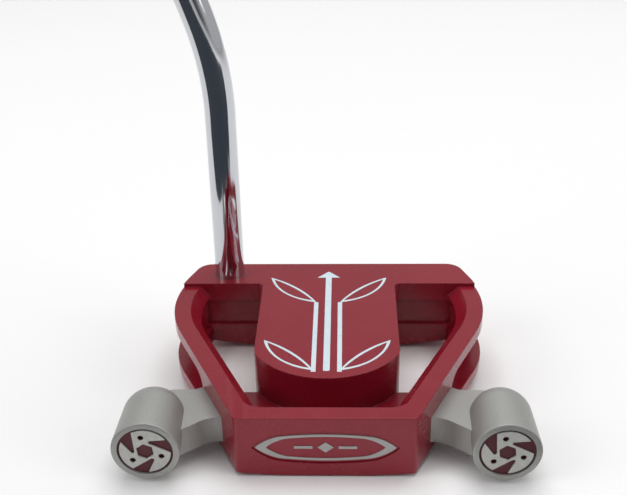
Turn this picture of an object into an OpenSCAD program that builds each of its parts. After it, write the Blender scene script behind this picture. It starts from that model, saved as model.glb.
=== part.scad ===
// Mallet putter, right-handed, soled at address.
// +X points to the toe, +Y to the target, +Z up. The origin is the middle of the sole.

/* [Head] */
// Height of the crown above the sole, at the face
head_h = 25; // [23:0.5:30]
// Length of the head, face to rear face
head_depth = 82; // [76:1:100]
// Greatest width of the red frame
frame_w = 96.5; // [90:0.5:116]
// How far the face's ends stand inside the frame's greatest width
face_inset = 6.05; // [5:0.05:10]
// Width of the rear face
rear_w = 48.8; // [44:0.2:56]
// Radius of the frame's sides
side_r = 39; // [30:1:42]
// Distance from the face back to the middle of the frame's sides
side_y = 22.9; // [20:0.1:28]
// Loft of the face, which is also the crown's fall towards the rear
loft = 3.2; // [0:0.2:5]

/* [Frame] */
// Front-to-back depth of the front bar
bar_depth = 13; // [12.5:0.25:18]
// Height of the front bar's upper band
bar_t = 6.3; // [4:0.1:8]
// Depth of the groove across the back of the front bar
groove_depth = 1.4; // [0.6:0.1:1.6]
// Width of the ring's arms on top
arm_w = 5; // [4.5:0.1:7]
// Thickness of the ring's arms
arm_t = 3.8; // [3:0.1:6]
// Step from the front bar down to the arms
arm_step = 1.2; // [0.4:0.1:2]
// How far the arms' inner faces slope inwards
slope_w = 3.2; // [1:0.1:4]
// Thickness of the sole ring
sole_t = 7; // [5:0.1:8]
// Thickness of the floor behind the tongue and of the front bar's foot
floor_t = 8.9; // [8:0.1:10]
// Thickness of the rear wall
rear_wall_t = 5; // [4:0.1:7]
// Length of the full-height side walls, from the rear face
side_wall_len = 24; // [23:0.5:28]
// Length of the floor, from the rear face
floor_len = 28; // [26:0.5:32]

/* [Tongue] */
// Width of the tongue
tongue_w = 42.4; // [38:0.2:48]
// Distance from the rear face to the tongue's end
tongue_gap = 16.6; // [14:0.2:22]
// Radius of the tongue's end
tongue_r = 24; // [22:0.5:30]

/* [Sole] */
// Radius of the sole's heel-to-toe camber
camber_r = 260; // [200:5:400]
// Width of the flat along the middle of the sole
sole_flat_w = 24; // [10:1:30]

/* [Face insert] */
// Width of the insert
insert_w = 52; // [40:1:53]
// Height of the insert
insert_h = 15; // [10:0.5:17]
// Thickness of the insert
insert_t = 2.8; // [2:0.1:3]
// Thickness of the bonding layers behind the insert and the badge
bond_t = 0.2; // [0.1:0.05:0.4]

/* [Rear badge] */
// Width of the rear face beside each end of the oval badge
badge_side = 4.5; // [3.5:0.1:9]
// Height of the oval badge
badge_h = 10.4; // [8:0.1:12]
// Width of the badge plate's margin outside its silver ring
badge_margin = 0.75; // [0.4:0.05:1.2]
// Width of the silver ring at the middle of its long sides
ring_w = 0.85; // [0.5:0.05:1.2]
// Depth of the badge recess
badge_depth = 1.3; // [1.2:0.1:2]

/* [Pods] */
// Outer diameter of a pod at its rear face
pod_d = 18.6; // [18:0.1:21]
// How much slimmer a pod is behind its round nose
pod_taper = 1.6; // [0.4:0.1:2.4]
// Length of a pod
pod_len = 23; // [18:0.5:26]
// How far a pod's centre line stands outside the frame's greatest width
pod_out = 0.05; // [-0.5:0.05:3]
// Height of a pod's centre line below the crown
pod_drop = 10.1; // [9.6:0.1:11]
// How far a pod's rear face stands behind the frame's rear face
pod_overhang = 3; // [1:0.5:5]
// Height of a strut
strut_t = 8.4; // [7:0.1:9]
// Width of a pod's rim round its cap
rim_w = 1.7; // [1.4:0.1:2.4]
// Width of the seat between a pod's cap and the weight inside it
seat_w = 1.6; // [1:0.1:3]
// Length of the weight inside a pod
weight_len = 11; // [6:0.5:12]
// Shank diameter of the screws that hold the pods
screw_d = 3; // [2.5:0.5:3]

/* [Shaft and grip] */
// Length of the club along the shaft
club_len = 889; // [813:1:940]
// Angle between the shaft and the ground
lie = 71; // [68:0.5:76]
// Diameter of the shaft's tip
tip_d = 9.4; // [9:0.1:9.4]
// Diameter of the shaft's butt
butt_d = 15; // [13:0.1:15.5]
// Wall of the shaft
shaft_wall = 0.6; // [0.4:0.05:1]
// Distance from the head's middle to the shaft
shaft_x = 32.6; // [32.4:0.1:34]
// Depth of the shaft's bore in the head
bore_depth = 17; // [12:0.5:18]
// Straight length of shaft above the crown
neck_len = 55; // [40:1:80]
// Radius of the shaft's bend
bend_r = 95; // [60:5:140]
// Length of the grip
grip_len = 267; // [240:1:300]
// Diameter of the grip at its lower end
grip_d = 18.5; // [17.5:0.1:22]
// Diameter of the grip at its butt
grip_butt_d = 27; // [24:0.5:32]

/* [Hidden] */
$fn = 96;

red = [0.55, 0.07, 0.1];
silver = [0.72, 0.72, 0.7];
dark_red = [0.36, 0.06, 0.1];
pale = [0.9, 0.94, 0.97];
eps = 0.01;
reach = 200;              // longer than the head in any direction
under = 5;                // the frame is drawn this far below the sole, then cut to it
gap = 0.1;                // clearance round the glued shaft
butt_cap_t = 3;

face_w = frame_w - 2 * face_inset;
side_wall_y = head_depth - side_wall_len;
floor_y = head_depth - floor_len;
tongue_len = head_depth - tongue_gap;
badge_w = rear_w - 2 * badge_side;
pod_nose_d = pod_d - pod_taper;
pod_spacing = frame_w + 2 * pod_out;
cap_d = pod_d - 2 * rim_w;
weight_d = cap_d - 2 * seat_w;
shaft_y = (bar_depth - groove_depth) / 2;

// Sides of the club: the heel is towards -X, the toe towards +X.
heel = -1;
toe = 1;

// ---------- points and outlines ----------

function unit(v) = v / norm(v);

function vertex(list, i) =
    let(n = len(list), p = list[(i + n) % n])
    [p[0], p[1]];

// Tangent points, centre, radius and turn of one rounded corner.
function corner(list, i) =
    let(
        p = vertex(list, i),
        u = unit(vertex(list, i - 1) - p),
        v = unit(vertex(list, i + 1) - p),
        half = acos(u * v) / 2,
        r = list[i][2]
    )
    [p + u * r / tan(half), p + v * r / tan(half), p + unit(u + v) * r / sin(half), r,
        sign(u[0] * v[1] - u[1] * v[0])];

// The piece of a corner's circle outside the chord between its tangent points.
module corner_cap(c) {
    out = unit((c[0] + c[1]) / 2 - c[2]) * c[3];
    intersection() {
        translate(c[2]) circle(c[3]);
        polygon([c[0], c[1], c[1] + out, c[0] + out]);
    }
}

// A closed outline of [x, y, corner radius] points, drawn anticlockwise.
module rounded(list) {
    corners = [for (i = [0 : len(list) - 1]) if (list[i][2] > 0) corner(list, i)];
    difference() {
        union() {
            polygon([for (i = [0 : len(list) - 1])
                each list[i][2] > 0 ? let(c = corner(list, i)) [c[0], c[1]] : [vertex(list, i)]]);
            for (c = corners) if (c[4] < 0) corner_cap(c);
        }
        for (c = corners) if (c[4] > 0) corner_cap(c);
    }
}

// Right half of a symmetric outline, from front to rear, made into the whole one.
function both_sides(right) = concat(
    [for (i = [len(right) - 1 : -1 : 0]) right[i]],
    [for (p = right) [-p[0], p[1], p[2]]]
);

module rounded_box(w, h, r) {
    rounded([[-w / 2, -h / 2, r], [w / 2, -h / 2, r], [w / 2, h / 2, r], [-w / 2, h / 2, r]]);
}

// ---------- places ----------

// Head frame: y is 0 at the face and falls to the rear, z is head_h on the crown.
module head_frame() {
    translate([0, head_depth / 2, head_h])
        rotate([loft, 0, 0])
            translate([0, 0, -head_h])
                children();
}

// Height in the head frame of a level plane z above the ground.
function level(y, z) = head_h + (z - head_h - y * sin(loft)) / cos(loft);

// Draws an outline up to a height in the head frame, from below the sole.
module rise(top) {
    translate([0, 0, -under]) linear_extrude(top + under) children();
}

// Everything below a level z above the ground.
module below(z) {
    translate([-reach, -reach, z - reach]) cube([2 * reach, 2 * reach, reach]);
}

// ---------- frame outline ----------

side_c = [frame_w / 2 - side_r, -side_y];

// Angle at which the tangent from p meets the side's circle.
function tangent_angle(p, side) =
    let(d = p - side_c)
    atan2(d[1], d[0]) + side * acos(side_r / norm(d));

front_a = tangent_angle([face_w / 2, 0], -1);
rear_a = tangent_angle([rear_w / 2, -head_depth], 1);
mid_a = (front_a + rear_a) / 2;
half_a = (front_a - rear_a) / 2;

// Virtual corner of the side, and the lines from it, for an outline drawn inset.
function side_corner(inset) =
    side_c + (side_r - inset) / cos(half_a) * [cos(mid_a), sin(mid_a)];
front_dir = unit([face_w / 2, 0] - side_corner(0));
rear_dir = unit([rear_w / 2, -head_depth] - side_corner(0));
function on_line(p, dir, y) = p + dir * (y - p[1]) / dir[1];

// The frame's outline, inset all along its sides, between two values of y.
module frame_outline(inset, front_y, rear_y, front_r, rear_r) {
    v = side_corner(inset);
    f = on_line(v, front_dir, front_y);
    b = on_line(v, rear_dir, rear_y);
    rounded(both_sides([
        [f[0], f[1], front_r],
        [v[0], v[1], side_r - inset],
        [b[0], b[1], rear_r]
    ]));
}

module frame_plan() {
    frame_outline(0, 0, -head_depth, 5.5, 1.6);
}

rear_inner_y = -head_depth + rear_wall_t;
slope_lip = 0.4;          // height of the upright edge under the arms' slope
window_r = 7;             // rounding of the windows' rear corners

module window_plan() {
    intersection() {
        frame_outline(arm_w, 0, rear_inner_y, 0, window_r);
        translate([-reach, rear_inner_y]) square([2 * reach, -bar_depth - rear_inner_y]);
    }
}

module lower_window_plan() {
    intersection() {
        frame_outline(arm_w + slope_w, 0, rear_inner_y, 0, window_r);
        translate([-reach, -floor_y]) square([2 * reach, floor_y - bar_depth]);
    }
}

// ---------- tongue ----------

tongue_turn = 55;         // how far round its end arc the tongue's corners start
tongue_corner_r = 8;
tongue_fillet_r = 1.7;
tongue_shoulder = 4;

function tongue_points() =
    let(
        end_c = tongue_r - tongue_len,
        join = [tongue_r * sin(tongue_turn), end_c - tongue_r * cos(tongue_turn)],
        side = tongue_w / 2,
        corner_y = join[1] + (side - join[0]) * tan(tongue_turn)
    )
    [[side, corner_y, tongue_corner_r], [tongue_r * tan(tongue_turn / 2), -tongue_len, tongue_r]];

module tongue_plan() {
    rounded(both_sides(concat([[tongue_w / 2, -bar_depth / 2, 0]], tongue_points())));
}

// The tongue with fillets where it meets the front bar.
module filleted_tongue_plan() {
    wide = tongue_w / 2 + tongue_shoulder;
    rounded(both_sides(concat(
        [[wide, -bar_depth / 2, 0], [wide, -bar_depth, 0], [tongue_w / 2, -bar_depth, tongue_fillet_r]],
        tongue_points()
    )));
}

// ---------- head body ----------

arm_top = head_h - arm_step;
arm_bottom = arm_top - arm_t;

// All the space above the sole: flat in the middle, then cambered in narrow flat strips.
camber_a = asin(sole_flat_w / 2 / camber_r);
camber_end = asin((frame_w / 2 + 5) / camber_r);
camber_strips = 7;

module sole_envelope() {
    side = [for (i = [0 : camber_strips])
        let(a = camber_a + (camber_end - camber_a) * i / camber_strips)
        [camber_r * sin(a), camber_r * (cos(camber_a) - cos(a))]];
    far = side[camber_strips][0];
    rotate([90, 0, 0])
        translate([0, 0, -reach])
            linear_extrude(2 * reach)
                polygon(concat(side, [[far, reach], [-far, reach]],
                    [for (i = [camber_strips : -1 : 0]) [-side[i][0], side[i][1]]]));
}

// Opening through both sides, between the arms and the sole ring.
module side_slot() {
    front = -bar_depth + 1;
    rear = -side_wall_y;
    rotate([90, 0, 90])
        translate([0, 0, -reach])
            linear_extrude(2 * reach)
                rounded([
                    [front, level(front, sole_t), 0],
                    [front, arm_bottom, 0],
                    [rear, arm_bottom, 5],
                    [rear, level(rear, sole_t), 3]
                ]);
}

// The arms' window, small enough to leave room for their sloping inner faces.
module arm_window_plan() {
    intersection() {
        frame_outline(arm_w + slope_w, 0, rear_inner_y, 0, window_r);
        translate([-reach, rear_inner_y]) square([2 * reach, -bar_depth - rear_inner_y]);
    }
}

// What the sloping inner face of the toe side's arm leaves open, above an upright lip.
slope_r = side_r - arm_w;
slope_foot = [slope_r - slope_w, arm_bottom + slope_lip];
slope_past = 0.3 * ([slope_r, arm_top] - slope_foot);
slope_section = [slope_foot - slope_past, [slope_r, arm_top] + slope_past,
    [slope_r - 2 * slope_w, arm_top + slope_past[1]],
    [slope_r - 2 * slope_w, slope_foot[1] - slope_past[1]]];
slope_len = norm(on_line(side_corner(arm_w), rear_dir, rear_inner_y - rear_wall_t / 2)
    - side_corner(arm_w)) - slope_r * tan(half_a);

module curved_slope() {
    translate(side_c)
        rotate_extrude(start = rear_a, angle = front_a - rear_a) polygon(slope_section);
}

module straight_slope() {
    intersection() {
        translate(side_c)
            rotate([0, 0, rear_a])
                rotate([90, 0, 0])
                    linear_extrude(slope_len) polygon(slope_section);
        linear_extrude(2 * head_h) frame_outline(arm_w - 0.3, 0, rear_inner_y, 0, window_r);
    }
}

// The frame's ring: arms above, sole ring below, full height behind side_wall_y.
module ring() {
    difference() {
        rise(arm_top) frame_plan();
        translate([0, 0, arm_bottom - reach]) linear_extrude(reach) window_plan();
        linear_extrude(reach) arm_window_plan();
        curved_slope();
        straight_slope();
        mirror([1, 0, 0]) curved_slope();
        mirror([1, 0, 0]) straight_slope();
        side_slot();
    }
}

module front_bar() {
    foot = level(-bar_depth, floor_t);
    difference() {
        intersection() {
            rise(head_h) frame_plan();
            translate([-reach, -bar_depth, -reach]) cube([2 * reach, bar_depth + 1, 2 * reach]);
        }
        // Groove across the back
        translate([0, -bar_depth, 0])
            rotate([90, 0, 0])
                translate([0, (foot + head_h - bar_t) / 2, -groove_depth])
                    linear_extrude(2 * groove_depth)
                        rounded_box(2 * groove_half_w, head_h - bar_t - foot, 1);
    }
}
groove_half_w = face_w / 2 - 2.2;

module floor_plates() {
    intersection() {
        head_frame() rise(arm_bottom) difference() {
            frame_plan();
            lower_window_plan();
        }
        below(sole_t);
    }
    intersection() {
        head_frame() rise(arm_bottom) intersection() {
            frame_plan();
            translate([-reach, -reach - floor_y]) square([2 * reach, reach]);
        }
        below(floor_t);
    }
}

module badge_cut() {
    rear_face_place(-badge_depth)
        linear_extrude(2 * badge_depth)
            badge_oval(badge_gap);
}

module head_solid() {
    intersection() {
        union() {
            head_frame() {
                ring();
                front_bar();
                rise(head_h) tongue_plan();
                translate([0, 0, head_h - bar_t]) linear_extrude(bar_t) filleted_tongue_plan();
            }
            floor_plates();
        }
        sole_envelope();
    }
}

module head_body() {
    color(red) difference() {
        head_solid();
        head_frame() {
            // Face pocket
            face_place(-insert_t - bond_t) linear_extrude(insert_t + bond_t + 1) insert_plan();
            // Shaft bore
            shaft_base() translate([0, 0, -bore_depth]) cylinder(d = tip_d + 2 * gap, h = bore_depth + 1);
            badge_cut();
            crown_place() linear_extrude(mark_depth + 1) {
                arrow_plan();
                lines_plan();
                leaves_plan();
            }
            for (side = [heel, toe], s = screw_places) {
                screw_place(side, s) {
                    cylinder(d = screw_d, h = arm_w + 1);
                    translate([0, 0, -1]) cylinder(d = screw_head_d, h = screw_head_h + 1);
                }
            }
        }
    }
}

// ---------- face insert ----------

module face_place(y) {
    translate([0, y, (head_h + 1) / 2]) rotate([-90, 0, 0]) children();
}

module insert_plan() {
    rounded_box(insert_w, insert_h, 3);
}

module face_insert() {
    color("dimgray") head_frame()
        face_place(-insert_t) linear_extrude(insert_t) insert_plan();
}

module insert_tape() {
    color("black") head_frame()
        face_place(-insert_t - bond_t) linear_extrude(bond_t) insert_plan();
}

// ---------- alignment marks ----------

mark_depth = 0.4;         // depth of the painted grooves
line_y0 = 24.6;           // from the face back to the front ends of the side lines
line_y1 = tongue_len - 3.2; // and to their rear ends
line_x = 3.7;             // from the middle out to a side line
line_w = 1.35;
leaf_w = 0.75;            // width of a leaf's outline
leaf_point = 1.7;         // the same along its points
leaf_reach = [15, 15.4];  // from the line's end out and forward to the leaf's tip
leaf_front = 1.7;         // bulge of a leaf's front edge from the line through its points
leaf_rear = 3.5;          // the same for its rear edge
arrow_y = 5.2;            // from the face back to the arrow's tip
arrow_head = [7.4, 4];
arrow_stem_w = 1.9;

module crown_place() {
    translate([0, 0, head_h - mark_depth]) children();
}

module arrow_plan() {
    head_y = -arrow_y - arrow_head[1];
    polygon([[-arrow_head[0] / 2, head_y], [arrow_head[0] / 2, head_y], [0, -arrow_y]]);
    stem = arrow_stem_w / 2;
    rounded([[-stem, -line_y1 + 0.4, 0.5], [stem, -line_y1 + 0.4, 0.5], [stem, head_y + 0.5, 0],
        [-stem, head_y + 0.5, 0]]);
}

module lines_plan() {
    for (side = [heel, toe])
        translate([side * line_x - line_w / 2, -line_y1]) square([line_w, line_y1 - line_y0]);
}

// Radius of an arc over a chord.
function arc_r(chord, rise) = (pow(chord / 2, 2) + pow(rise, 2)) / (2 * rise);

// A lens between two arcs, its points on the x axis.
module lens(length, above, below) {
    intersection() {
        translate([0, above - arc_r(length, above)]) circle(arc_r(length, above));
        translate([0, arc_r(length, below) - below]) circle(arc_r(length, below));
    }
}

module leaf_plan() {
    length = norm(leaf_reach);
    rotate([0, 0, atan2(leaf_reach[1], leaf_reach[0])])
        translate([length / 2, 0])
            difference() {
                lens(length, leaf_front, leaf_rear);
                translate([0, -leaf_w * 0.1])
                    lens(length - 2 * leaf_point, leaf_front - leaf_w, leaf_rear - leaf_w);
            }
}

module leaves_plan() {
    difference() {
        for (side = [0, 1], y = [line_y0, line_y1])
            mirror([side, 0])
                translate([line_x, -y + (y == line_y1 ? leaf_w : 0)])
                    leaf_plan();
        lines_plan();
    }
}

module alignment_arrow() {
    color(pale) head_frame() crown_place() linear_extrude(mark_depth) arrow_plan();
}

module alignment_lines() {
    color(pale) head_frame() crown_place() linear_extrude(mark_depth) lines_plan();
}

module alignment_leaves() {
    color(pale) head_frame() crown_place() linear_extrude(mark_depth) leaves_plan();
}

// ---------- rear badge ----------

badge_z = head_h - 11;    // centre of the badge
badge_gap = 0.12;         // clearance round the badge in its recess
ring_end_w = 3;           // width of the silver ring at its ends
plate_t = 0.7;
ring_t = 0.25;
emblem_t = 0.2;

// A plane parallel to the rear face, out from it, with x to the heel and y up.
module rear_face_place(out) {
    translate([0, -head_depth - out, badge_z]) rotate([90, 0, 0]) children();
}

// An oval between long flat arcs, with tighter arcs from its shoulders to its tips.
module oval(half_w, half_h) {
    shoulder = [0.65 * half_w, 0.825 * half_h];
    flat_r = arc_r(2 * shoulder[0], half_h - shoulder[1]);
    chord = [half_w, 0] - shoulder;
    end_r = 0.72 * half_w;
    end_c = shoulder + chord / 2
        + sqrt(pow(end_r, 2) - pow(norm(chord) / 2, 2)) * unit([chord[1], -chord[0]]);
    difference() {
        intersection() {
            translate([0, flat_r - half_h]) circle(flat_r);
            translate([0, half_h - flat_r]) circle(flat_r);
        }
        for (side = [0, 1]) mirror([side, 0]) difference() {
            translate([0.56 * half_w, -half_h]) square([half_w, 2 * half_h]);
            intersection() {
                translate(end_c) circle(end_r);
                translate([end_c[0], -end_c[1]]) circle(end_r);
            }
        }
    }
}

// The badge's outline, grown by a margin.
module badge_oval(margin) {
    oval(badge_w / 2 + margin, badge_h / 2 + margin);
}

// The silver ring lies on the badge plate.
module ring_plan() {
    difference() {
        badge_oval(-badge_margin);
        oval(badge_w / 2 - badge_margin - ring_end_w, badge_h / 2 - badge_margin - ring_w);
    }
}

// A plain lozenge between two bars.
module emblem_plan() {
    polygon([[-2.2, 0], [0, -1.7], [2.2, 0], [0, 1.7]]);
    for (side = [heel, toe])
        translate([side * 6, 0]) square([5, 0.9], center = true);
}

module badge_tape() {
    color("black") head_frame()
        rear_face_place(-badge_depth) linear_extrude(bond_t) badge_oval(0);
}

module badge_plate() {
    color(red) head_frame()
        rear_face_place(-badge_depth + bond_t) linear_extrude(plate_t) badge_oval(0);
}

module badge_ring() {
    color(silver) head_frame()
        rear_face_place(-badge_depth + bond_t + plate_t) linear_extrude(ring_t) ring_plan();
}

module badge_emblem() {
    color(silver) head_frame()
        rear_face_place(-badge_depth + bond_t + plate_t) linear_extrude(emblem_t) emblem_plan();
}

// ---------- pods ----------

pod_rear_y = -head_depth - pod_overhang;
pod_z = head_h - pod_drop;
cap_t = 2;
fan_t = 0.45;
fan_sink = 0.15;          // the fan plate lies this far inside the pod's rim
cap_gap = 0.04;
screw_head_d = 5;
screw_head_h = 2.8;
screw_bite = 8;           // length of a screw inside its strut
strut_top = head_h - 8.2;
screw_z = strut_top - strut_t / 2;
strut_front = 0.2;        // from the side wall's front end back to the strut
strut_rear = 14.3;        // the same to the strut's rear
strut_slope = 0.79;       // how fast the strut's rear edge then runs back to the pod

// How far back along the side wall a point at depth y lies.
function wall_s(y) =
    (y - side_c[1] - side_r * sin(rear_a)) / cos(rear_a);
screw_places = [wall_s(-side_wall_y - 3.5), wall_s(-side_wall_y - 10.5)];

// A screw's axis: +z points out through the side wall, z = 0 is the wall's inner face.
module screw_place(side, s) {
    mirror([side == heel ? 1 : 0, 0, 0])
        translate([side_c[0], side_c[1], screw_z])
            rotate([0, 0, rear_a])
                translate([side_r - arm_w, s, 0])
                    rotate([0, 90, 0])
                        children();
}

// The pod's axis: +z points to the rear, z = 0 is the pod's rear face.
module pod_place(side) {
    translate([side * pod_spacing / 2, pod_rear_y, pod_z]) rotate([90, 0, 0]) children();
}

module pod_profile() {
    rounded([
        [0, -pod_len, 0],
        [pod_nose_d / 2, -pod_len, 0.48 * pod_nose_d],
        [pod_d / 2, 0, 0.5],
        [0, 0, 0]
    ]);
}

// Plan of the toe strut, from the side wall into the pod.
module strut_plan() {
    front = on_line(side_corner(0), rear_dir, -side_wall_y - strut_front);
    rear = on_line(side_corner(0), rear_dir, -side_wall_y - strut_rear);
    bend = rear + [3.4, 0];
    pod_x = pod_spacing / 2;
    end_x = pod_x - 0.27 * pod_d;
    front_y = -side_wall_y - 1.4;
    rounded([
        [front[0], front[1], 0],
        [rear[0], rear[1], 0],
        [bend[0], bend[1], 8.5],
        [end_x, bend[1] - (end_x - bend[0]) * strut_slope, 0],
        [pod_x, front_y - 8, 0],
        [pod_x - 1, front_y, 4.5],
        [front[0] + 2.2, front_y, 1.6]
    ]);
}

module strut() {
    translate([0, 0, strut_top - strut_t]) linear_extrude(strut_t) strut_plan();
}

module pod(side) {
    color(silver) head_frame() difference() {
        union() {
            pod_place(side) rotate(side == heel ? 0 : 180) rotate_extrude() pod_profile();
            mirror([side == heel ? 1 : 0, 0, 0]) strut();
        }
        pod_place(side) {
            translate([0, 0, -cap_t - fan_t - fan_sink]) cylinder(d = cap_d, h = reach);
            translate([0, 0, -cap_t - fan_t - fan_sink - weight_len])
                cylinder(d = weight_d, h = weight_len + 1);
        }
        for (s = screw_places) screw_place(side, s) cylinder(d = screw_d, h = arm_w + screw_bite);
    }
}

module pod_weight(side) {
    color("gray") head_frame() pod_place(side)
        translate([0, 0, -cap_t - fan_t - fan_sink - weight_len])
            cylinder(d = weight_d - 2 * cap_gap, h = weight_len);
}

hole_places = [for (i = [0 : 2]) 100 + 120 * i];
hole_depth = 0.5;

module fan_holes() {
    for (a = hole_places) rotate(a) translate([4.6, 0]) circle(d = 1.6);
}

module end_cap(side) {
    color(dark_red) head_frame() pod_place(side)
        translate([0, 0, -cap_t - fan_t - fan_sink])
            difference() {
                cylinder(d = cap_d - 2 * cap_gap, h = cap_t);
                translate([0, 0, cap_t - hole_depth]) linear_extrude(2) fan_holes();
            }
}

fan_d = cap_d - 1.3;
hex_d = 5;
hex_turn = 37;
slot_tip = [3.35, 96];    // radius and angle of the slot's inner corner, before it's rounded
slot_rim = [29, -6.5];    // angles of the slot's sides beyond the rim

function polar(r, a) = [r * cos(a), r * sin(a)];

module fan_slot() {
    tip = polar(slot_tip[0], slot_tip[1]);
    past_r = fan_d / 2 + 1.35;
    a = polar(past_r, slot_rim[0]);
    b = polar(past_r, slot_rim[1]);
    rounded([[tip[0], tip[1], 0.55], [b[0], b[1], 0], [a[0], a[1], 0]]);
}

module fan_plate(side) {
    color(silver) head_frame() pod_place(side)
        translate([0, 0, -fan_t - fan_sink])
            linear_extrude(fan_t)
                difference() {
                    circle(d = fan_d);
                    rotate(hex_turn) circle(d = hex_d, $fn = 6);
                    fan_holes();
                    for (i = [0 : 2]) rotate(120 * i) fan_slot();
                }
}

module pod_screws(side) {
    color("dimgray") head_frame()
        for (s = screw_places) screw_place(side, s) difference() {
            union() {
                cylinder(d = screw_d, h = arm_w + screw_bite);
                cylinder(d = screw_head_d, h = screw_head_h);
            }
            translate([0, 0, -eps]) cylinder(d = 2.5, h = 1.6, $fn = 6);
        }
}

module heel_pod() { pod(heel); }
module toe_pod() { pod(toe); }
module heel_weight() { pod_weight(heel); }
module toe_weight() { pod_weight(toe); }
module heel_end_cap() { end_cap(heel); }
module toe_end_cap() { end_cap(toe); }
module heel_fan_plate() { fan_plate(heel); }
module toe_fan_plate() { fan_plate(toe); }
module heel_pod_screws() { pod_screws(heel); }
module toe_pod_screws() { pod_screws(toe); }

// ---------- shaft ----------

// Where the shaft leaves the crown.
module shaft_base() {
    translate([-shaft_x, -shaft_y, head_h]) children();
}

// The bend turns from square to the crown to the lie, upright as seen from the side.
bend_a = acos(sin(lie) * cos(loft));
bend_turn = atan2(sin(lie) * sin(loft), -cos(lie));
upper_len = club_len - neck_len - bend_r * bend_a * PI / 180 - head_h - butt_cap_t;
step_count = 8;
step_len = 36;
step_start = upper_len - grip_len - step_count * step_len - 20;
step_run = 2.5;           // length of each step's short cone
nest = 0.8;               // the straight tube laps over the bend's ends by this much,
nest_slack = 0.12;        // with the bend this much slimmer inside it

module upper_place() {
    shaft_base()
        translate([0, 0, neck_len])
            rotate([0, 0, bend_turn])
                translate([bend_r * (1 - cos(bend_a)), 0, bend_r * sin(bend_a)])
                    rotate([0, bend_a, 0])
                        children();
}

// Outer radius after each step.
function step_radius(i) = (tip_d + (butt_d - tip_d) * i / step_count) / 2;

// The straight tube beyond the bend, as far inside its outer skin as given.
module upper_tube(inside) {
    steps = [for (i = [1 : step_count]) each [
        [step_radius(i - 1) - inside, step_start + (i - 1) * step_len],
        [step_radius(i) - inside, step_start + (i - 1) * step_len + step_run]
    ]];
    end = upper_len + (inside > 0 ? 1 : 0);
    rotate_extrude() polygon(concat(
        [[0, -nest], [tip_d / 2 - inside, -nest]],
        steps,
        [[butt_d / 2 - inside, end], [0, end]]
    ));
}

// The tube's outer shape, or its bore when drawn inside by the wall.
module shaft_form(inside) {
    shaft_base() {
        translate([0, 0, gap - bore_depth - inside])
            cylinder(r = tip_d / 2 - inside, h = bore_depth + neck_len + inside - gap + nest);
        translate([0, 0, neck_len])
            rotate([0, 0, bend_turn])
                translate([bend_r, 0, 0])
                    rotate([90, 0, 0])
                        rotate_extrude(start = 180 - bend_a, angle = bend_a)
                            translate([bend_r, 0]) circle(r = tip_d / 2 - inside - nest_slack);
    }
    upper_place() upper_tube(inside);
}

module shaft() {
    color(silver) head_frame() difference() {
        shaft_form(0);
        shaft_form(shaft_wall);
    }
}

module shaft_epoxy() {
    color("khaki") head_frame() shaft_base()
        translate([0, 0, -bore_depth]) difference() {
            cylinder(d = tip_d + 2 * gap, h = bore_depth);
            translate([0, 0, gap]) cylinder(d = tip_d, h = bore_depth);
        }
}

// ---------- grip ----------

tape_t = 0.3;
flat_depth = 0.8;         // the grip's thumb flat is this far inside its round

module grip_place() {
    upper_place() translate([0, 0, upper_len - grip_len]) children();
}

module grip_tape() {
    color("white") head_frame() grip_place() difference() {
        cylinder(d = butt_d + 2 * tape_t, h = grip_len);
        translate([0, 0, -1]) cylinder(d = butt_d, h = grip_len + 2);
    }
}

// The thumb flat: it faces the toe side and falls with the grip's taper.
module thumb_flat() {
    rise = (grip_butt_d - grip_d) / 2;
    rotate([90, 0, 0])
        translate([0, 0, -reach])
            linear_extrude(2 * reach)
                polygon([
                    [-grip_d / 2 + flat_depth, -1],
                    [-grip_d / 2 + flat_depth - rise, grip_len + butt_cap_t + 1],
                    [-reach, grip_len + butt_cap_t + 1],
                    [-reach, -1]
                ]);
}

module grip() {
    color([0.08, 0.08, 0.08]) head_frame() grip_place() difference() {
        rotate_extrude() rounded([
            [butt_d / 2 + tape_t, 0, 0],
            [grip_d / 2, 0, 0],
            [grip_d / 2 + 0.6, grip_len * 0.3, 200],
            [grip_butt_d / 2, grip_len * 0.85, 150],
            [grip_butt_d / 2, grip_len, 0],
            [butt_d / 2 + tape_t, grip_len, 0]
        ]);
        thumb_flat();
    }
}

module butt_cap() {
    color([0.15, 0.15, 0.15]) head_frame() grip_place() difference() {
        translate([0, 0, grip_len])
            rotate_extrude() rounded([
                [1.25, 0, 0],
                [grip_butt_d / 2, 0, 0],
                [grip_butt_d / 2, butt_cap_t, 1.6],
                [1.25, butt_cap_t, 0]
            ]);
        thumb_flat();
    }
}

head_body();
face_insert();
insert_tape();
alignment_arrow();
alignment_lines();
alignment_leaves();
badge_tape();
badge_plate();
badge_ring();
badge_emblem();
heel_pod();
toe_pod();
heel_weight();
toe_weight();
heel_end_cap();
toe_end_cap();
heel_fan_plate();
toe_fan_plate();
heel_pod_screws();
toe_pod_screws();
shaft();
shaft_epoxy();
grip_tape();
grip();
butt_cap();
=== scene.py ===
"""Looks of the mallet putter: finishes, bevelled edges, drawn shaft, moulded grip, studio, camera."""

import math

import bpy
from mathutils import Matrix, Vector


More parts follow.
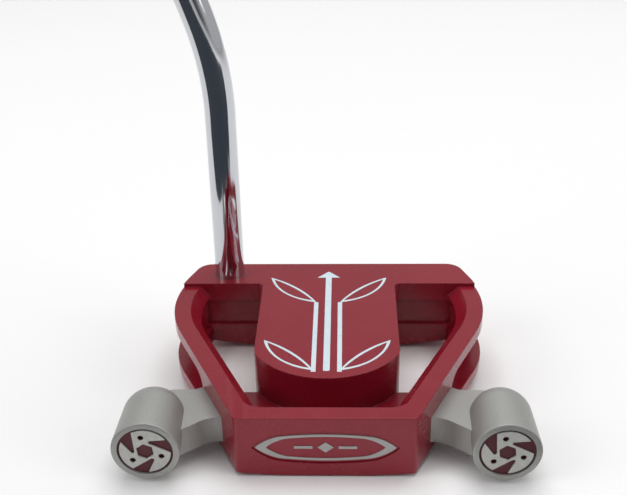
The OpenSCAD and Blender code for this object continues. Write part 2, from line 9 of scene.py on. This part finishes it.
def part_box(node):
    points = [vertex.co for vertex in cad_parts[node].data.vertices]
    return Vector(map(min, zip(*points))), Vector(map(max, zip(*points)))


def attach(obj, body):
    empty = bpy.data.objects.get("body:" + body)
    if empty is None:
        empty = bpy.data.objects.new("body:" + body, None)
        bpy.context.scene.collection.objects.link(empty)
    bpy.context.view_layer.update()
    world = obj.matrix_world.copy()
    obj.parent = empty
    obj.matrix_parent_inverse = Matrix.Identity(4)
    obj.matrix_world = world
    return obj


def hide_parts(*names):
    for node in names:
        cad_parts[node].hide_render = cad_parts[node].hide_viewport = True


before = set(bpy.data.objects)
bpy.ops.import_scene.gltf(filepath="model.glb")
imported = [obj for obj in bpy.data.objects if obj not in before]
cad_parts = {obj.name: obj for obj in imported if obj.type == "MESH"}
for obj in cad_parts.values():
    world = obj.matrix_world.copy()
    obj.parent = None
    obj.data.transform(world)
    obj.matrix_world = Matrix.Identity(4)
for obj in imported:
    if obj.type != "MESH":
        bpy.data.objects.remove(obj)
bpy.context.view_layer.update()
MM = 0.001

# ---------- where the head and the shaft lie, in metres ----------

LOFT = math.radians(3.2)
LIE = math.radians(71)
head_low, head_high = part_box("head_body")
CROWN = head_high.z              # the crown meets the face at this height
HALF_DEPTH = 41 * MM             # from the origin to the crown's front edge
HEAD = (
    Matrix.Translation((0, HALF_DEPTH, CROWN))
    @ Matrix.Rotation(LOFT, 4, "X")
    @ Matrix.Translation((0, 0, -CROWN))
)

SHAFT_X, SHAFT_Y = 32.6 * MM, 5.8 * MM
TIP_R, BUTT_R = 4.7 * MM, 7.5 * MM
BORE = 16.9 * MM
NECK = 55 * MM
BEND_R = 95 * MM
CLUB = 889 * MM
CAP_T = 3 * MM
GRIP_LEN = 267 * MM
BEND = math.acos(math.sin(LIE) * math.cos(LOFT))
TURN = math.atan2(math.sin(LIE) * math.sin(LOFT), -math.cos(LIE))
UPPER = CLUB - NECK - BEND_R * BEND - CROWN - CAP_T
BASE = HEAD @ Matrix.Translation((-SHAFT_X, -SHAFT_Y, CROWN))
BEND_AT = BASE @ Matrix.Translation((0, 0, NECK)) @ Matrix.Rotation(TURN, 4, "Z")
UPPER_AT = (
    BEND_AT
    @ Matrix.Translation((BEND_R * (1 - math.cos(BEND)), 0, BEND_R * math.sin(BEND)))
    @ Matrix.Rotation(BEND, 4, "Y")
)
GRIP_AT = UPPER_AT @ Matrix.Translation((0, 0, UPPER - GRIP_LEN))

# ---------- materials ----------

WAVE_PERIOD = 0.31416            # metres between a wave texture's bands at scale 1
RING_PITCH = 0.18                # millimetres between the rings left by a lathe
MILL_PITCH = 0.9                 # millimetres between the lines milled in the insert


class Finish:
    """A Principled material, with short calls for the nodes that vary it."""

    def __init__(self, name, color, metallic=0.0, roughness=0.5, **sockets):
        self.mat = bpy.data.materials.new(name)
        self.mat.use_nodes = True
        self.tree = self.mat.node_tree
        self.shader = self.tree.nodes["Principled BSDF"]
        self.color = color
        self.bumps = None
        self.set("Base Color", (*color, 1))
        self.set("Metallic", metallic)
        self.set("Roughness", roughness)
        for socket, value in sockets.items():
            self.set(socket.replace("_", " "), value)
        self.place = self.node("ShaderNodeTexCoord").outputs["Object"]

    def set(self, socket, value):
        self.shader.inputs[socket].default_value = value

    def node(self, kind, **settings):
        made = self.tree.nodes.new(kind)
        for key, value in settings.items():
            setattr(made, key, value)
        return made

    def join(self, output, socket):
        self.tree.links.new(output, socket)

    def stretched(self, matrix, scale):
        """The place, seen along another frame's axes and scaled on each."""
        turned = self.node("ShaderNodeMapping", vector_type="POINT")
        back = matrix.inverted()
        turned.inputs["Location"].default_value = back.translation
        turned.inputs["Rotation"].default_value = back.to_euler()
        self.join(self.place, turned.inputs["Vector"])
        sized = self.node("ShaderNodeMapping", vector_type="POINT")
        sized.inputs["Scale"].default_value = scale
        self.join(turned.outputs[0], sized.inputs["Vector"])
        return sized.outputs[0]

    def noise(self, size, detail=3.0, rough=0.55, place=None):
        """Noise whose blotches are about this many millimetres wide, from 0 to 1."""
        made = self.node("ShaderNodeTexNoise")
        made.inputs["Scale"].default_value = 1000.0 / size
        made.inputs["Detail"].default_value = detail
        made.inputs["Roughness"].default_value = rough
        self.join(place or self.place, made.inputs["Vector"])
        return made.outputs["Fac"]

    def ramp(self, value, low, high, a=0.0, b=1.0):
        """Maps low..high to a..b, held at the ends."""
        made = self.node("ShaderNodeMapRange")
        for key, number in (("From Min", low), ("From Max", high), ("To Min", a), ("To Max", b)):
            made.inputs[key].default_value = number
        self.join(value, made.inputs["Value"])
        return made.outputs["Result"]

    def tint(self, value, other):
        """Mixes the colour so far with another one, by value."""
        made = self.node("ShaderNodeMix", data_type="RGBA")
        made.inputs["A"].default_value = (*self.color, 1)
        made.inputs["B"].default_value = (*other, 1)
        link = self.shader.inputs["Base Color"].links
        if link:
            self.join(link[0].from_socket, made.inputs["A"])
        self.join(value, made.inputs["Factor"])
        self.join(made.outputs["Result"], self.shader.inputs["Base Color"])
        return self

    def vary_roughness(self, value, low, high):
        self.join(self.ramp(value, 0.3, 0.7, low, high), self.shader.inputs["Roughness"])
        return self

    def bump(self, height, depth, strength=1.0):
        """Adds relief this many millimetres deep."""
        made = self.node("ShaderNodeBump")
        made.inputs["Distance"].default_value = depth * MM
        made.inputs["Strength"].default_value = strength
        self.join(height, made.inputs["Height"])
        if self.bumps:
            self.join(self.bumps, made.inputs["Normal"])
        self.bumps = made.outputs["Normal"]
        self.join(self.bumps, self.shader.inputs["Normal"])
        return self

    def soften_edges(self, radius):
        """Shades sharp edges as if rounded to this many millimetres."""
        made = self.node("ShaderNodeBevel", samples=6)
        made.inputs["Radius"].default_value = radius * MM
        self.bumps = made.outputs["Normal"]
        self.join(self.bumps, self.shader.inputs["Normal"])
        return self

    def waves(self, size, place, axis="X", kind="BANDS"):
        """Even lines this many millimetres apart, from 0 to 1."""
        made = self.node("ShaderNodeTexWave", wave_type=kind)
        if kind == "BANDS":
            made.bands_direction = axis
        else:
            made.rings_direction = axis
        made.inputs["Scale"].default_value = 1000.0 / size * WAVE_PERIOD
        self.join(place, made.inputs["Vector"])
        return made.outputs["Fac"]


def red_paint(name, color, deep, rough, edge):
    """Glossy red enamel: a thin clear coat over paint with a faintly wavy surface."""
    f = Finish(
        name, color, roughness=rough, Specular_IOR_Level=0.32, Coat_Weight=0.22, Coat_Roughness=0.08
    )
    f.soften_edges(edge)
    f.tint(f.ramp(f.noise(24, 4), 0.38, 0.75, 0.0, 0.35), deep)
    f.vary_roughness(f.noise(9, 4), rough - 0.05, rough + 0.06)
    f.bump(f.noise(4, 2), 0.004)
    f.bump(f.noise(0.25, 2), 0.0008)
    return f.mat


def blasted_steel(name, color):
    """Bead-blasted steel, with a fine even grain and faint handling marks."""
    f = Finish(name, color, metallic=0.6, roughness=0.5)
    f.tint(f.ramp(f.noise(0.28, 3, 0.7), 0.35, 0.75, 0.0, 0.7), [c * 0.72 for c in color])
    f.tint(f.ramp(f.noise(7, 4), 0.45, 0.8, 0.0, 0.3), [c * 0.85 for c in color])
    f.vary_roughness(f.noise(0.5, 3), 0.44, 0.6)
    f.bump(f.noise(0.22, 3, 0.65), 0.02)
    return f.mat


def turned_metal(name, color, matrix, metallic):
    """A disc faced on a lathe, with rings round the axis of a frame."""
    f = Finish(name, color, metallic=metallic, roughness=0.5)
    place = f.stretched(matrix, (1, 1, 0))
    f.tint(f.ramp(f.noise(1.1, 3), 0.4, 0.8, 0.0, 0.45), [c * 0.7 for c in color])
    f.vary_roughness(f.noise(2.4, 3), 0.44, 0.58)
    f.bump(f.waves(RING_PITCH, place, "SPHERICAL", "RINGS"), 0.004)
    f.bump(f.noise(0.2, 2), 0.006)
    return f.mat


def mark_paint():
    """Enamel filled into shallow grooves: faintly uneven and dulled with use."""
    f = Finish("mark_paint", (0.64, 0.74, 0.80), roughness=0.42)
    f.tint(f.ramp(f.noise(3, 4), 0.45, 0.8, 0.0, 0.5), (0.50, 0.60, 0.67))
    f.vary_roughness(f.noise(1.5, 3), 0.34, 0.55)
    f.bump(f.noise(0.9, 3), 0.02)
    return f.mat


def chrome():
    """Plated tube: mirror bright, with faint drawing lines and smudges."""
    f = Finish("shaft_chrome", (0.58, 0.59, 0.62), metallic=1.0, roughness=0.07)
    f.vary_roughness(f.noise(14, 4), 0.05, 0.11)
    along = f.stretched(UPPER_AT, (1, 1, 0.02))
    f.bump(f.noise(0.6, 2, 0.5, along), 0.0012)
    f.tint(f.ramp(f.noise(20, 4), 0.5, 0.85, 0.0, 0.3), (0.5, 0.51, 0.54))
    return f.mat


def rubber(name, color):
    """Moulded rubber: a fine matt grain, slightly polished where hands rub."""
    f = Finish(name, color, roughness=0.62, Sheen_Weight=0.08, Sheen_Roughness=0.5)
    f.tint(f.ramp(f.noise(18, 4), 0.4, 0.75, 0.0, 0.6), [c * 1.7 for c in color])
    f.vary_roughness(f.noise(12, 4), 0.52, 0.74)
    f.bump(f.noise(0.3, 3, 0.6), 0.035)
    return f.mat


def urethane():
    """The insert's face: pale plastic with fine level milling, its grooves tinted darker as painted
    shade.
    """
    f = Finish("insert", (0.80, 0.81, 0.80), roughness=0.46, Subsurface_Weight=0.1)
    f.set("Subsurface Radius", (0.002, 0.002, 0.002))
    place = f.stretched(HEAD, (1, 1, 1))
    lines = f.waves(MILL_PITCH, place, "Z")
    # Painted shade: the colour darkens towards the bottom of each milled groove.
    f.tint(f.ramp(lines, 0.0, 0.35, 0.55, 0.0), (0.5, 0.52, 0.53))
    f.tint(f.ramp(f.noise(5, 4), 0.5, 0.8, 0.0, 0.4), (0.7, 0.7, 0.68))
    f.bump(lines, 0.06)
    f.bump(f.noise(0.3, 2), 0.01)
    return f.mat


def plain_inside(name, color, metallic, rough, grain):
    """A finish for pieces that sit inside the club: tape, epoxy, brass and steel."""
    f = Finish(name, color, metallic=metallic, roughness=rough)
    f.tint(f.ramp(f.noise(grain * 6, 3), 0.4, 0.7, 0.0, 0.6), [c * 0.75 for c in color])
    f.vary_roughness(f.noise(grain * 3, 3), rough - 0.08, rough + 0.08)
    f.bump(f.noise(grain, 3), 0.02)
    return f.mat


def pod_axis(node):
    """A frame on the middle of a pod's round piece, with z along the pod."""
    low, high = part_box(node)
    turn = Matrix.Rotation(LOFT, 4, "X") @ Matrix.Rotation(math.radians(90), 4, "X")
    return Matrix.Translation((low + high) / 2) @ turn


RED = (0.25, 0.008, 0.021)
DEEP_RED = (0.18, 0.004, 0.012)
red_head = red_paint("red_head", RED, DEEP_RED, 0.26, 0.5)
badge_red = red_paint("badge_field", (0.26, 0.012, 0.028), (0.2, 0.008, 0.02), 0.34, 0.15)
pod_steel = blasted_steel("pod_metal", (0.40, 0.40, 0.385))
nickel = blasted_steel("badge_metal", (0.46, 0.45, 0.44))
enamel = mark_paint()
tape = plain_inside("tape", (0.72, 0.69, 0.58), 0.0, 0.7, 0.5)
epoxy = plain_inside("epoxy", (0.10, 0.09, 0.08), 0.0, 0.35, 0.6)
brass = plain_inside("brass", (0.70, 0.50, 0.22), 1.0, 0.35, 0.4)
screw_steel = plain_inside("screw_steel", (0.45, 0.45, 0.46), 1.0, 0.38, 0.3)
grip_rubber = rubber("grip_rubber", (0.018, 0.018, 0.020))
cap_rubber = rubber("cap_rubber", (0.014, 0.014, 0.015))

FINISHES = {
    "head_body": red_head,
    "face_insert": urethane(),
    "insert_tape": tape,
    "alignment_arrow": enamel,
    "alignment_lines": enamel,
    "alignment_leaves": enamel,
    "badge_tape": tape,
    "badge_plate": badge_red,
    "badge_ring": nickel,
    "badge_emblem": nickel,
    "heel_pod": pod_steel,
    "toe_pod": pod_steel,
    "heel_weight": brass,
    "toe_weight": brass,
    "heel_pod_screws": screw_steel,
    "toe_pod_screws": screw_steel,
    "shaft": chrome(),
    "shaft_epoxy": epoxy,
    "grip_tape": tape,
    "grip": grip_rubber,
    "butt_cap": cap_rubber,
}
for end in ("heel", "toe"):
    axis = pod_axis(end + "_end_cap")
    FINISHES[end + "_end_cap"] = turned_metal(end + "_cap_red", (0.09, 0.012, 0.02), axis, 0.2)
    FINISHES[end + "_fan_plate"] = turned_metal(end + "_fan_metal", (0.50, 0.50, 0.48), axis, 0.3)

# ---------- CAD nodes: finishes and bevelled edges ----------

# Width in millimetres of each node's bevels; the other nodes keep the edges they have.
EDGES = {
    "face_insert": 0.15,
    "heel_pod": 0.22,
    "toe_pod": 0.22,
    "heel_end_cap": 0.12,
    "toe_end_cap": 0.12,
    "heel_fan_plate": 0.08,
    "toe_fan_plate": 0.08,
    "badge_ring": 0.12,
    "badge_plate": 0.06,
    "badge_emblem": 0.05,
    "heel_pod_screws": 0.15,
    "toe_pod_screws": 0.15,
    "butt_cap": 0.3,
}


def bevel_edges(node, width):
    """Joins the CAD faces' shared edges, then bevels the sharp ones."""
    weld = node.modifiers.new("weld", "WELD")
    weld.merge_threshold = 1e-6
    bevel = node.modifiers.new("bevel", "BEVEL")
    bevel.width = width * MM
    bevel.segments = 3
    bevel.limit_method = "ANGLE"
    bevel.angle_limit = math.radians(28)
    bevel.harden_normals = True
    bevel.miter_outer = "MITER_ARC"


for name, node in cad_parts.items():
    node.data.materials.clear()
    node.data.materials.append(FINISHES[name])
    if name in EDGES:
        bevel_edges(node, EDGES[name])

# ---------- drawn shaft ----------

SIDES = 72
SHAFT_CHAMFER, BUTT_CHAMFER = 0.4 * MM, 0.3 * MM
STEPS = 8
STEP_LEN, STEP_RUN = 36 * MM, 2.5 * MM
STEPS_TO_GRIP = 20 * MM
STEP_START = UPPER - GRIP_LEN - STEPS * STEP_LEN - STEPS_TO_GRIP
BEND_ROWS = 40


def ease(t):
    """Rises smoothly from 0 to 1 as t does, and holds outside that."""
    t = min(max(t, 0), 1)
    return t * t * (3 - 2 * t)


def tube(rows, sides):
    """Points and side faces of a tube through rows of (frame, radius)."""
    points, faces = [], []
    for matrix, radius in rows:
        for i in range(sides):
            a = 2 * math.pi * i / sides
            points.append(matrix @ Vector((radius * math.cos(a), radius * math.sin(a), 0)))
    for k in range(len(rows) - 1):
        for i in range(sides):
            j = (i + 1) % sides
            faces.append((k * sides + i, k * sides + j, (k + 1) * sides + j, (k + 1) * sides + i))
    return points, faces


def piece(name, points, faces, finish, node):
    """Adds a mesh that rides on the club in a CAD node's place."""
    mesh = bpy.data.meshes.new(name)
    mesh.from_pydata([tuple(p) for p in points], [], faces)
    mesh.update()
    mesh.shade_smooth()
    mesh.materials.append(finish)
    made = bpy.data.objects.new(name, mesh)
    bpy.context.scene.collection.objects.link(made)
    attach(made, "root")
    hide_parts(node)
    return made


def shaft_rows():
    """Frames and radii from the tip in its bore, round the bend and up the steps to the butt."""
    tip = [
        (-BORE, TIP_R - SHAFT_CHAMFER), (-BORE + SHAFT_CHAMFER, TIP_R), (0, TIP_R), (NECK * 0.5, TIP_R)
    ]
    rows = [(BASE @ Matrix.Translation((0, 0, z)), r) for z, r in tip]
    unturn = Matrix.Rotation(-TURN, 4, "Z")
    for i in range(BEND_ROWS + 1):
        a = BEND * i / BEND_ROWS
        along = Matrix.Translation((BEND_R * (1 - math.cos(a)), 0, BEND_R * math.sin(a)))
        rows.append((BEND_AT @ along @ Matrix.Rotation(a, 4, "Y") @ unturn, TIP_R))
    level = [(STEP_START * 0.5, TIP_R)]
    for k in range(STEPS):
        r0 = TIP_R + (BUTT_R - TIP_R) * k / STEPS
        r1 = TIP_R + (BUTT_R - TIP_R) * (k + 1) / STEPS
        for t in (0, 0.15, 0.5, 0.85, 1):
            level.append((STEP_START + k * STEP_LEN + t * STEP_RUN, r0 + (r1 - r0) * ease(t)))
    level += [(UPPER - BUTT_CHAMFER, BUTT_R), (UPPER, BUTT_R - BUTT_CHAMFER)]
    return rows + [(UPPER_AT @ Matrix.Translation((0, 0, z)) @ unturn, r) for z, r in level]


points, faces = tube(shaft_rows(), SIDES)
faces.append(tuple(range(SIDES))[::-1])
faces.append(tuple(range(len(points) - SIDES, len(points))))
piece("drawn_shaft", points, faces, FINISHES["shaft"], "shaft")

# ---------- moulded grip ----------

GRIP_ROWS, GRIP_SIDES = 620, 168
GRIP_TIP_R, GRIP_BUTT_R, GRIP_BORE_R = 9.25 * MM, 13.5 * MM, 7.8 * MM
STRAIGHT_TAPER = 2.0 * MM        # what the even taper adds to the radius
SWELL_FROM, SWELL_OVER = 0.22, 0.66  # of the grip's length
LIP_R = 1.2 * MM                 # rounding of the lower end
LIP_LEVELS = [z * MM for z in (0.02, 0.1, 0.22, 0.45, 0.8)]
FLAT_DEPTH = 0.8 * MM
FLAT_REACH = 0.3                 # cosine of the angle past which the flat is never met
FLAT_SHARPNESS = 6000            # per metre, of the edge between the round and the flat
FLAT_EDGE = 0.86                 # cosine of the angle out to where the flat's grooves end
PLAIN_LOW, PLAIN_HIGH, FADE = 12 * MM, 14 * MM, 4 * MM  # ends without a pattern
GROOVE_PITCH, GROOVE_DEPTH = 2.4 * MM, 0.18 * MM
DIMPLE_PITCH, DIMPLE_DEPTH = 3.2 * MM, 0.22 * MM
DIMPLE_ROW = DIMPLE_PITCH * 0.866  # between the rows of a triangular pattern
DIMPLE_REACH = 0.105             # square of a dimple's radius, in pitches
EVEN_R = 10.8 * MM               # the grip's radius where dimples stand evenly
DIMPLES_AROUND = round(2 * math.pi * EVEN_R / DIMPLE_PITCH)
GROOVE_BLEND, DIMPLE_BLEND = 0.05, 0.06  # how fast each fades towards the flat's edge


def grip_radius(z):
    """Slim and nearly straight below, then a long swell to the butt."""
    t = z / GRIP_LEN
    swell = GRIP_BUTT_R - GRIP_TIP_R - STRAIGHT_TAPER * min(t, 1)
    return GRIP_TIP_R + STRAIGHT_TAPER * t + swell * ease((t - SWELL_FROM) / SWELL_OVER)


def grip_skin(z, a):
    """Distance from the axis: the round, the thumb flat and the moulded pattern."""
    r = grip_radius(z)
    away = math.cos(a - math.pi)
    if away > FLAT_REACH:
        flat = (r - FLAT_DEPTH) / away
        r = -math.log(math.exp(-r * FLAT_SHARPNESS) + math.exp(-flat * FLAT_SHARPNESS)) / FLAT_SHARPNESS
    if z < LIP_R:
        r -= LIP_R - math.sqrt(max(0, 1 - (1 - z / LIP_R) ** 2)) * LIP_R
    fade = ease((z - PLAIN_LOW) / FADE) * ease((GRIP_LEN - PLAIN_HIGH - z) / FADE)
    if away > FLAT_EDGE:
        groove = 0.5 + 0.5 * math.cos(2 * math.pi * z / GROOVE_PITCH)
        return r - GROOVE_DEPTH * fade * ease((away - FLAT_EDGE) / GROOVE_BLEND) * groove ** 6
    row = z / DIMPLE_ROW
    shift = 0.5 * (math.floor(row + 0.5) % 2)
    u = (a / (2 * math.pi) * DIMPLES_AROUND + shift + 0.5) % 1 - 0.5
    v = (row + 0.5) % 1 - 0.5
    hole = max(0, 1 - (u * u + v * v) / DIMPLE_REACH)
    return r - DIMPLE_DEPTH * fade * ease((FLAT_EDGE - away) / DIMPLE_BLEND) * hole


def grip_mesh():
    """Rows up the skin and back down the bore, joined round into one closed tube."""
    levels = [0.0] + LIP_LEVELS + [GRIP_LEN * (k / (GRIP_ROWS - 1)) for k in range(2, GRIP_ROWS)]
    angles = [2 * math.pi * i / GRIP_SIDES for i in range(GRIP_SIDES)]
    rows = [(z, [grip_skin(z, a) for a in angles]) for z in levels]
    rows += [(z, [GRIP_BORE_R] * GRIP_SIDES) for z in (GRIP_LEN, GRIP_LEN * 0.5, 0)]
    points = [
        GRIP_AT @ Vector((r * math.cos(a), r * math.sin(a), z))
        for z, radii in rows
        for a, r in zip(angles, radii)
    ]
    faces = []
    for k in range(len(rows)):
        low, high = k * GRIP_SIDES, (k + 1) % len(rows) * GRIP_SIDES
        for i in range(GRIP_SIDES):
            j = (i + 1) % GRIP_SIDES
            faces.append((low + i, low + j, high + j, high + i))
    return points, faces


points, faces = grip_mesh()
piece("moulded_grip", points, faces, FINISHES["grip"], "grip")

# ---------- studio ----------

FLOOR, FLOOR_SIZE = (0.93, 0.93, 0.93), 14
AIM = (0, 0, 0.02)               # where the lights point
SKY_STRENGTH = 0.56
DARK_SIDE = Vector((0.15, -1, 0.15)).normalized()
# The card's outline on the floor, in millimetres, starting from the edge nearest the head.
CARD = [
    (-90, -51), (-62, -70), (11, -77), (85, -41), (131, -41), (823, -243), (400, -900),
    (-500, -900), (-878, -272), (-206, -16), (-140, -18), (-119, -31),
]


def stage_sheet(name, corners, z, material):
    """A flat sheet of the studio with corners (x, y), this high above the ground, in metres."""
    mesh = bpy.data.meshes.new(name)
    mesh.from_pydata([(x, y, z) for x, y in corners], [], [tuple(range(len(corners)))])
    mesh.materials.append(material)
    made = bpy.data.objects.new(name, mesh)
    bpy.context.scene.collection.objects.link(made)
    return made


def pale_floor():
    f = Finish("floor", FLOOR, roughness=0.9, Specular_IOR_Level=0.1)
    f.tint(f.ramp(f.noise(180, 2), 0.3, 0.8, 0.0, 0.3), [c * 0.98 for c in FLOOR])
    h = FLOOR_SIZE / 2
    stage_sheet("floor", [(-h, -h), (h, -h), (h, h), (-h, h)], -0.4 * MM, f.mat)


def dark_card():
    """A dark card on the floor, on the camera's side of the head, seen only in reflections."""
    card = Finish("card", (0.03, 0.04, 0.055), roughness=0.9)
    made = stage_sheet("dark_card", [(x * MM, y * MM) for x, y in CARD], 0.2 * MM, card.mat)
    made.visible_camera = made.visible_diffuse = made.visible_shadow = False


pale_floor()
dark_card()


def softbox(name, at, size, power):
    """A rectangular light aimed at the head."""
    data = bpy.data.lights.new(name, "AREA")
    data.shape = "RECTANGLE"
    data.size, data.size_y = size
    data.energy = power
    made = bpy.data.objects.new(name, data)
    made.location = at
    made.rotation_euler = (Vector(AIM) - Vector(at)).to_track_quat("-Z", "Y").to_euler()
    bpy.context.scene.collection.objects.link(made)


softbox("top_box", (0.1, 0.35, 1.5), (1.3, 0.9), 11.6)
softbox("left_box", (-1.3, -0.5, 0.9), (0.8, 1.0), 5)
softbox("right_box", (1.3, -0.6, 0.8), (0.7, 0.9), 4)


def surroundings():
    """Even light from all round, but for a dark patch on the camera's side, seen in no view."""
    world = bpy.data.worlds.new("studio")
    world.use_nodes = True
    bpy.context.scene.world = world
    tree = world.node_tree
    sky = tree.nodes["Background"]
    sky.inputs["Strength"].default_value = SKY_STRENGTH
    place = tree.nodes.new("ShaderNodeTexCoord")
    toward = tree.nodes.new("ShaderNodeVectorMath")
    toward.operation = "DOT_PRODUCT"
    toward.inputs[1].default_value = DARK_SIDE
    tree.links.new(place.outputs["Generated"], toward.inputs[0])
    patch = tree.nodes.new("ShaderNodeMapRange")
    patch.interpolation_type = "SMOOTHSTEP"
    for key, number in (("From Min", 0.55), ("From Max", 0.97), ("To Min", 1.0), ("To Max", 0.12)):
        patch.inputs[key].default_value = number
    tree.links.new(toward.outputs["Value"], patch.inputs["Value"])
    path = tree.nodes.new("ShaderNodeLightPath")
    brighter = tree.nodes.new("ShaderNodeMath")
    brighter.operation = "MAXIMUM"
    tree.links.new(patch.outputs["Result"], brighter.inputs[0])
    tree.links.new(path.outputs["Is Camera Ray"], brighter.inputs[1])
    tree.links.new(brighter.outputs[0], sky.inputs["Color"])


surroundings()

view = bpy.context.scene.view_settings
view.view_transform = "Standard"
view.look = "None"

# ---------- camera ----------

FOCAL_MM, SENSOR_MM = 58.9, 36.0
CAMERA_AT = Vector((5.64, -299.53, 191.90)) * MM
PITCH, HEADING, ROLL = 0.49208, 0.03599, -0.01950


def camera_matrix():
    """The view in the head's frame: heading towards -X, pitch down, then roll."""
    ahead = Vector((
        -math.sin(HEADING) * math.cos(PITCH),
        math.cos(HEADING) * math.cos(PITCH),
        -math.sin(PITCH),
    ))
    right = Vector((math.cos(HEADING), math.sin(HEADING), 0))
    up = right.cross(ahead)
    x = right * math.cos(ROLL) + up * math.sin(ROLL)
    y = up * math.cos(ROLL) - right * math.sin(ROLL)
    turn = Matrix((x, y, -ahead)).transposed().to_4x4()
    return HEAD @ Matrix.Translation(CAMERA_AT) @ turn


lens = bpy.data.cameras.new("camera")
lens.lens, lens.sensor_width = FOCAL_MM, SENSOR_MM
lens.clip_start = 0.01
camera = bpy.data.objects.new("camera", lens)
bpy.context.scene.collection.objects.link(camera)
camera.matrix_world = camera_matrix()
bpy.context.scene.camera = camera
